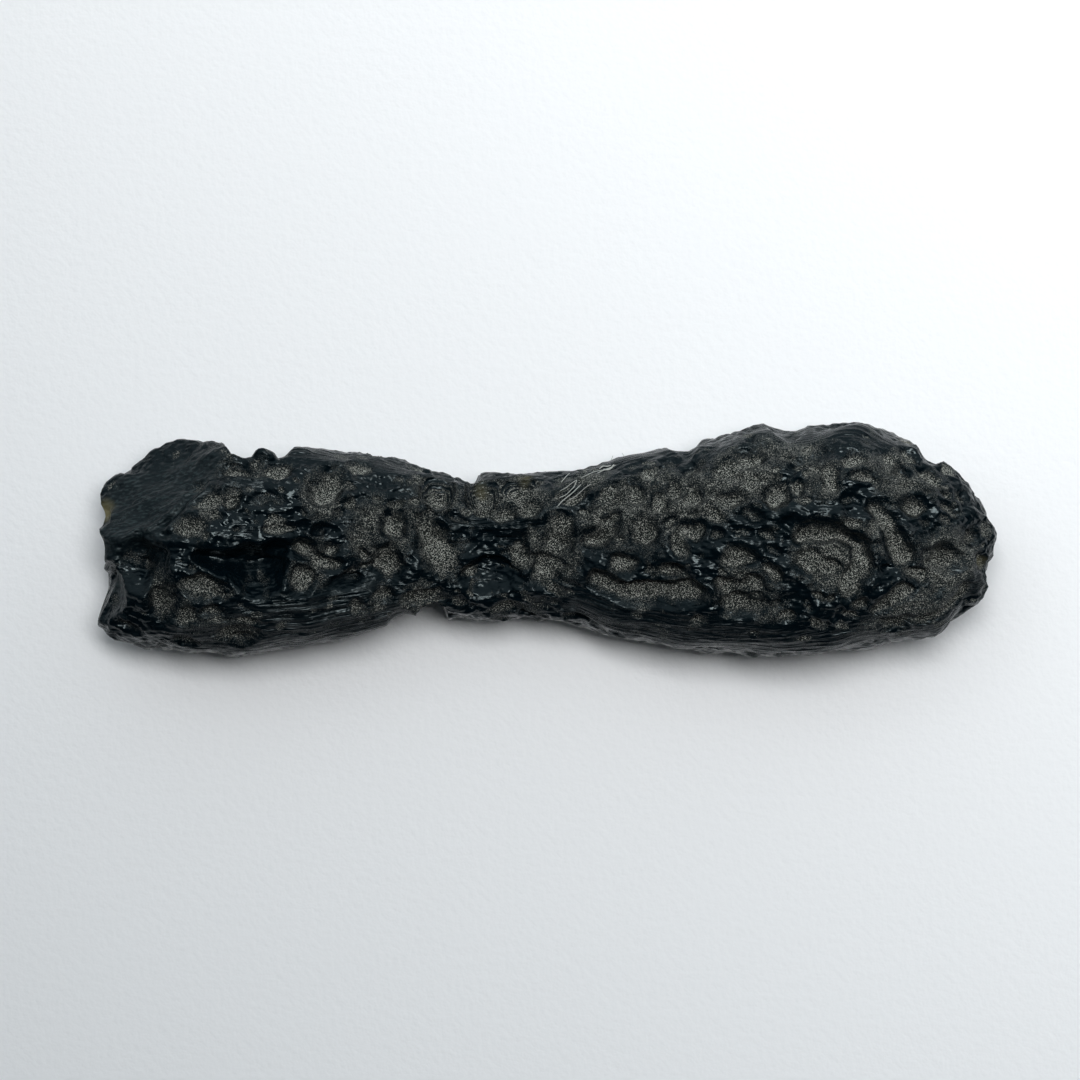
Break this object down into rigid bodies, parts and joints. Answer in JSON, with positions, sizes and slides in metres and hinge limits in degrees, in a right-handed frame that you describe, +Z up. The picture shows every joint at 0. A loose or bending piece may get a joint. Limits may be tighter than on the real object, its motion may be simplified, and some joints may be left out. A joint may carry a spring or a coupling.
{
  "type": "tektite",
  "caption": "Dumbbell-shaped lump of black natural glass, narrowed at the waist and broken across one end, with a deeply pitted and grooved skin; lies free on a surface.",
  "frame": {"origin": "on the surface the stone rests on, under the middle of its box", "axes": "+X along the stone from the broken end to the round end, +Y towards its straighter long edge, +Z up, away from its two feet"},
  "size_m": [0.09, 0.0236, 0.0174],
  "materials": {
    "tektite_glass": "natural black glass, opaque except at its thinnest edges; glossy on ridges and in deep hollows, etched matt and dusted warm grey in the pits"
  },
  "bodies": {
    "root": {"tektite": "tektite_glass"}
  },
  "joints": []
}
